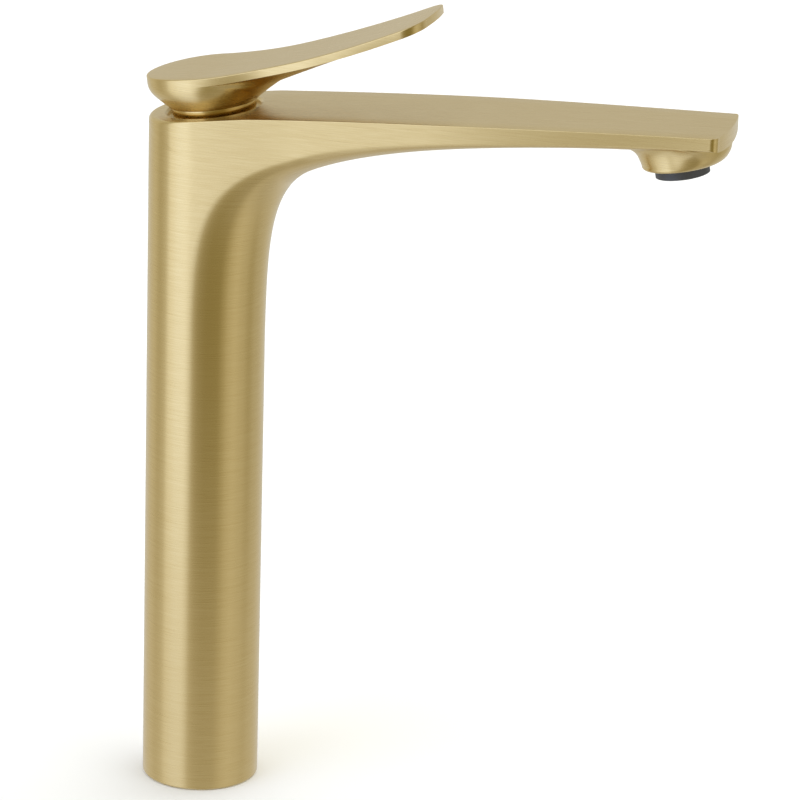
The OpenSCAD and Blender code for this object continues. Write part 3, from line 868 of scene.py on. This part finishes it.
def head_top(p):
    """Height where the bowl ends, towards p."""
    a = math.atan2(p[1], p[0])
    side = lever_top(head_radius(p) * math.cos(a)) - props("handle").blade_t / MM
    return side + (ROOT_H - side) * smooth((math.cos(a) - 0.25) / 0.6)


def bowl_point(p, u):
    """The point at u of the bowl's profile towards p, from its rim up to its end."""
    handle = props("handle")
    rim_r, rim_h = handle.rim_r / MM, handle.pivot_h / MM + 0.1
    r, h, front = head_radius(p), head_top(p), smooth(p[0] / 30)
    q = bezier(
        (
            (rim_r, rim_h),
            (rim_r + (0.65 - 0.25 * front) * (r - rim_r), rim_h + 0.46 * (h - rim_h)),
            (r - 4.5 * front, rim_h + (0.6 + 0.1 * front) * (h - rim_h)),
            (r, h),
        ),
        u,
    )
    unit = p.normalized()
    return Vector((unit[0] * q[0], unit[1] * q[0], q[1]))


def under_point(p, f):
    """The blade's underside at f of the way from the bowl's end to p."""
    unit, r = p.normalized(), head_radius(p)
    blade = props("handle").blade_t / MM
    deep = lever_top(unit[0] * r) - head_top(p)
    q = r + (p.length - r) * f
    x = unit[0] * q
    return Vector((x, unit[1] * q, lever_top(x) - blade - (deep - blade) * (1 - f) ** 2.2))


def handle_solid():
    """The lever: a bowl over the valve that flows into a long thin blade."""
    plan = handle_plan()
    edge = props("handle").edge_round / MM
    rings = [[bowl_point(p, i / BOWL_STEPS) for p in plan] for i in range(BOWL_STEPS + 1)]
    rings += [[under_point(p, i / BLADE_STEPS) for p in plan] for i in range(1, BLADE_STEPS + 1)]
    count = len(plan)
    inward = []
    for i in range(count):
        along = plan[(i + 1) % count] - plan[i - 1]
        inward.append(Vector((along[1], -along[0])).normalized())
    for k in range(ROUND_STEPS + 1):
        a = math.pi / 2 * k / ROUND_STEPS
        ring = []
        for p, n in zip(plan, inward):
            q = p + n * edge * (1 - math.cos(a))
            ring.append(Vector((q[0], q[1], lever_top(q[0]) - edge * (1 - math.sin(a)))))
        rings.append(ring)
    middle_x = 12  # the top face's rings shrink to a point here
    for f in (0.85, 0.7, 0.55, 0.4, 0.25, 0.1, 0.0):
        ring = []
        for p, n in zip(plan, inward):
            q = p + n * edge
            x = q[0] * f + middle_x * (1 - f)
            ring.append(Vector((x, q[1] * f, lever_top(x))))
        rings.append(ring)
    verts = [valve_frame() @ (v * MM) / MM for ring in rings for v in ring]
    faces = []
    for k in range(len(rings) - 1):
        for j in range(count):
            b = (j + 1) % count
            faces.append((k * count + j, k * count + b, (k + 1) * count + b, (k + 1) * count + j))
    faces.append(tuple(range(count)))
    return piece_from("handle_skin", verts, faces)


def hollow_tool():
    """The round hollow in the bowl, with its flat ceiling."""
    handle = props("handle")
    deselect()
    bpy.ops.mesh.primitive_uv_sphere_add(segments=96, ring_count=64, radius=handle.hollow_r)
    tool = bpy.context.object
    tool.location = (0, 0, handle.pivot_h)
    apply_place(tool)
    bpy.ops.object.mode_set(mode="EDIT")
    bpy.ops.mesh.select_all(action="SELECT")
    bpy.ops.mesh.bisect(
        plane_co=(0, 0, CEILING_H * MM), plane_no=(0, 0, 1), use_fill=True, clear_outer=True
    )
    bpy.ops.object.mode_set(mode="OBJECT")
    tool.matrix_world = valve_frame()
    apply_place(tool)
    return tool


class MIXER_OT_handle(bpy.types.Operator):
    """Model the blade lever with the hollow that clears the dome ring"""

    bl_idname = "mixer.handle"
    bl_label = "Handle"

    def execute(self, context):
        skin = handle_solid()
        combine(skin, hollow_tool(), "DIFFERENCE")
        hub = cylinder(HUB_R, HUB_BOTTOM, HUB_TOP, valve_frame(), segments=64)
        combine(skin, hub, "UNION")
        back = Matrix.Translation((0, 0, GRUB_H * MM)) @ Matrix.Rotation(-math.pi / 2, 4, "Y")
        combine(skin, cylinder(GRUB_R, 0, 40, valve_frame() @ back, segments=48), "DIFFERENCE")
        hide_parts("handle")
        finish_piece(skin, "lever", materials()["gold"])
        return {"FINISHED"}


# ---------------------------------------------------------------- finishes of the other pieces


class MIXER_OT_valve(bpy.types.Operator):
    """Give the cartridge, its nut, seals and stem their finishes"""

    bl_idname = "mixer.valve"
    bl_label = "Valve"

    def execute(self, context):
        give("polished", "dome_ring")
        give("brass", "cartridge_nut")
        give("steel", "stem", "stem_pin", "grub_screw")
        give("ceramic", "fixed_disc", "moving_disc")
        give("acetal", "cartridge_housing")
        give("grey", "cartridge_base", "stem_carrier")
        give("blue", "disc_driver")
        give("red", "hot_limit_ring", "index_plug")
        give("rubber", "dome_o_ring", "carrier_o_ring")
        give("silicone", "port_seals")
        return {"FINISHED"}


class MIXER_OT_foot(bpy.types.Operator):
    """Give the foot's disc and gasket their finishes, and the parts under the skins theirs"""

    bl_idname = "mixer.foot"
    bl_label = "Foot"

    def execute(self, context):
        give("brass", "base_socket")
        give("rubber", "base_gasket")
        give("gold", "column_tube", "spout_head", "handle")
        return {"FINISHED"}


class MIXER_OT_aerator(bpy.types.Operator):
    """Give the aerator's pieces their finishes"""

    bl_idname = "mixer.aerator"
    bl_label = "Aerator"

    def execute(self, context):
        give("grey", "aerator_housing")
        give("acetal", "aerator_insert")
        give("steel", "aerator_screen")
        give("rubber", "aerator_gasket")
        return {"FINISHED"}


# ---------------------------------------------------------------- stage

# Light tent round the mixer: (degrees to the right of the view, brightness, warmth).
TENT = (
    (-180, 0.70, 0.50),
    (-150, 0.72, 0.50),
    (-119, 0.70, 0.60),
    (-102, 0.55, 0.70),
    (-86, 0.66, 0.55),
    (-74, 1.12, 0.20),
    (-54, 1.24, 0.00),
    (-39, 1.27, 0.02),
    (-32, 1.06, 0.15),
    (-22, 0.49, 0.75),
    (-12, 0.36, 0.95),
    (2, 0.31, 1.10),
    (26, 0.32, 1.10),
    (36, 0.47, 0.90),
    (46, 0.64, 0.70),
    (59, 0.72, 0.62),
    (78, 0.62, 0.66),
    (96, 0.47, 0.80),
    (114, 0.58, 0.60),
    (150, 0.70, 0.50),
    (180, 0.70, 0.50),
)

# Brightness of the tent by height: (0 for straight down to 1 for straight up, share).
TENT_LEVELS = ((0.0, 0.75), (0.2, 1.0), (0.6, 1.0), (1.0, 0.9))

FADE_OUT = 0.75  # metres from the foot where the floor's painted reflection fades out


def fill_ramp(ramp, stops):
    """Gives a colour ramp its stops, each a position and a colour."""
    ramp.interpolation = "EASE"
    first, last = ramp.elements[0], ramp.elements[1]
    first.position, first.color = stops[0]
    last.position, last.color = stops[-1]
    for position, colour in stops[1:-1]:
        ramp.elements.new(position).color = colour


def panel_colour(bright, warm):
    """A panel's colour: cool white at warmth 0, yellow at 1."""
    return bright, bright * (1.12 - 0.22 * warm), bright * (1.45 - 0.95 * warm), 1


def tent_light(world, azimuth):
    """A tent of soft panels round the mixer; behind it the camera sees plain white."""
    world.use_nodes = True
    tree = world.node_tree
    tree.nodes.clear()
    direction = add(tree, "ShaderNodeTexCoord").outputs["Generated"]
    turned = add(
        tree, "ShaderNodeMapping",
        {"Vector": direction, "Rotation": (0, 0, math.pi / 2 - azimuth)},
        vector_type="POINT",
    ).outputs["Vector"]
    parts = add(tree, "ShaderNodeSeparateXYZ", {0: turned}).outputs
    round_it = add(tree, "ShaderNodeMath", {0: parts["Y"], 1: parts["X"]}, operation="ARCTAN2")
    place = spread(tree, round_it.outputs[0], 0.0, 1.0, -math.pi, math.pi)
    panels = add(tree, "ShaderNodeValToRGB", {"Fac": place})
    fill_ramp(panels.color_ramp, [
        (degrees / 360 + 0.5, panel_colour(bright, warm)) for degrees, bright, warm in TENT
    ])
    level = spread(tree, parts["Z"], 0.0, 1.0, -1.0, 1.0)
    height = add(tree, "ShaderNodeValToRGB", {"Fac": level})
    fill_ramp(height.color_ramp, [(at, (value, value, value, 1)) for at, value in TENT_LEVELS])
    tent = add(
        tree, "ShaderNodeMix", {0: 1.0, 6: panels.outputs["Color"], 7: height.outputs["Color"]},
        data_type="RGBA", blend_type="MULTIPLY",
    ).outputs[2]
    lit = add(tree, "ShaderNodeBackground", {"Color": tent, "Strength": 1.0}).outputs[0]
    plain = add(tree, "ShaderNodeBackground", {"Color": (1, 1, 1, 1), "Strength": 1.0}).outputs[0]
    seen = add(tree, "ShaderNodeLightPath").outputs["Is Camera Ray"]
    mix = add(tree, "ShaderNodeMixShader", {0: seen, 1: lit, 2: plain}).outputs[0]
    add(tree, "ShaderNodeOutputWorld", {"Surface": mix})


def floor_material(colour):
    """A matt floor that metal reflects as a painted reflection: an even, glowing grey sheet, fading
    out at FADE_OUT.
    """
    material, tree, shader = new_material("pale_floor_with_painted_reflection")
    shader.inputs["Base Color"].default_value = (*colour, 1)
    shader.inputs["Roughness"].default_value = 0.9
    shader.inputs["Specular IOR Level"].default_value = 0.1
    coords = add(tree, "ShaderNodeTexCoord").outputs["Object"]
    far = add(tree, "ShaderNodeVectorMath", {0: coords}, operation="LENGTH").outputs["Value"]
    share = add(
        tree, "ShaderNodeMapRange",
        {"Value": far, "From Min": 0.0, "From Max": FADE_OUT, "To Min": 0.42, "To Max": 1.0},
        interpolation_type="SMOOTHSTEP",
    ).outputs["Result"]
    # painted reflection: a glowing grey sheet that only glossy rays see, in place of the floor's
    # real reflection
    painted_reflection_sheet = add(tree, "ShaderNodeEmission", {"Color": (0.74, 0.74, 0.74, 1)}).outputs[0]
    clear = add(tree, "ShaderNodeBsdfTransparent").outputs[0]
    # the painted reflection, turning clear towards FADE_OUT
    mirror = add(tree, "ShaderNodeMixShader", {0: share, 1: painted_reflection_sheet, 2: clear}).outputs[0]
    glossy = add(tree, "ShaderNodeLightPath").outputs["Is Glossy Ray"]
    mix = {0: glossy, 1: shader.outputs[0], 2: mirror}
    surface = add(tree, "ShaderNodeMixShader", mix).outputs[0]
    connect(tree, tree.nodes["Material Output"], {"Surface": surface})
    return material


class MIXER_OT_stage(bpy.types.Operator):
    """Set the camera, the pale floor and the soft studio light"""

    bl_idname = "mixer.stage"
    bl_label = "Stage"

    def execute(self, context):
        stage = props("stage")
        scene = context.scene
        scene.view_settings.view_transform = "Standard"
        camera = bpy.data.objects.new("camera", bpy.data.cameras.new("camera"))
        scene.collection.objects.link(camera)
        camera.data.sensor_width = 36
        camera.data.lens = stage.lens
        camera.data.clip_end = 20
        camera.matrix_world = (
            Matrix.Rotation(stage.azimuth, 4, "Z")
            @ Matrix.Translation((stage.sideways, -stage.distance, stage.height))
            @ Matrix.Rotation(math.pi / 2 - stage.pitch, 4, "X")
            @ Matrix.Rotation(stage.roll, 4, "Z")
        )
        scene.camera = camera

        deselect()
        just_below = CAD_BOX[0][2] - 0.3 * MM
        bpy.ops.mesh.primitive_plane_add(size=12, location=(0, 0, just_below))
        floor = context.object
        floor.name = "floor"
        floor.data.materials.append(floor_material(stage.floor))

        scene.world = scene.world or bpy.data.worlds.new("tent")
        tent_light(scene.world, stage.azimuth)
        sun = bpy.data.objects.new("sky_panel", bpy.data.lights.new("sky_panel", "SUN"))
        sun.data.energy = 2.0
        sun.data.angle = math.radians(70)
        sun.rotation_euler = (math.radians(-8), math.radians(12), 0)
        sun.visible_glossy = False
        scene.collection.objects.link(sun)
        return {"FINISHED"}


# ---------------------------------------------------------------- panel and main


class MIXER_PT_panel(bpy.types.Panel):
    """Buttons for the mixer's pieces"""

    bl_idname = "MIXER_PT_panel"
    bl_label = "Basin mixer"
    bl_space_type = "VIEW_3D"
    bl_region_type = "UI"
    bl_category = "Mixer"

    def draw(self, context):
        for step in STEPS:
            self.layout.operator(step.bl_idname)


STEPS = (
    MIXER_OT_stage,
    MIXER_OT_body,
    MIXER_OT_handle,
    MIXER_OT_valve,
    MIXER_OT_foot,
    MIXER_OT_aerator,
)
GROUPS = {
    "body": MixerBodySizes,
    "handle": MixerHandleSizes,
    "colours": MixerColours,
    "stage": MixerStageSizes,
}


def register():
    for group in GROUPS.values():
        bpy.utils.register_class(group)
    for step in STEPS:
        bpy.utils.register_class(step)
    bpy.utils.register_class(MIXER_PT_panel)
    for name, group in GROUPS.items():
        setattr(bpy.types.Scene, "mixer_" + name, PointerProperty(type=group))


def unregister():
    for name in GROUPS:
        delattr(bpy.types.Scene, "mixer_" + name)
    bpy.utils.unregister_class(MIXER_PT_panel)
    for kind in reversed(STEPS + tuple(GROUPS.values())):
        bpy.utils.unregister_class(kind)


def main():
    register()
    for step in STEPS:
        group, name = step.bl_idname.split(".")
        getattr(getattr(bpy.ops, group), name)()


if __name__ == "__main__":
    main()
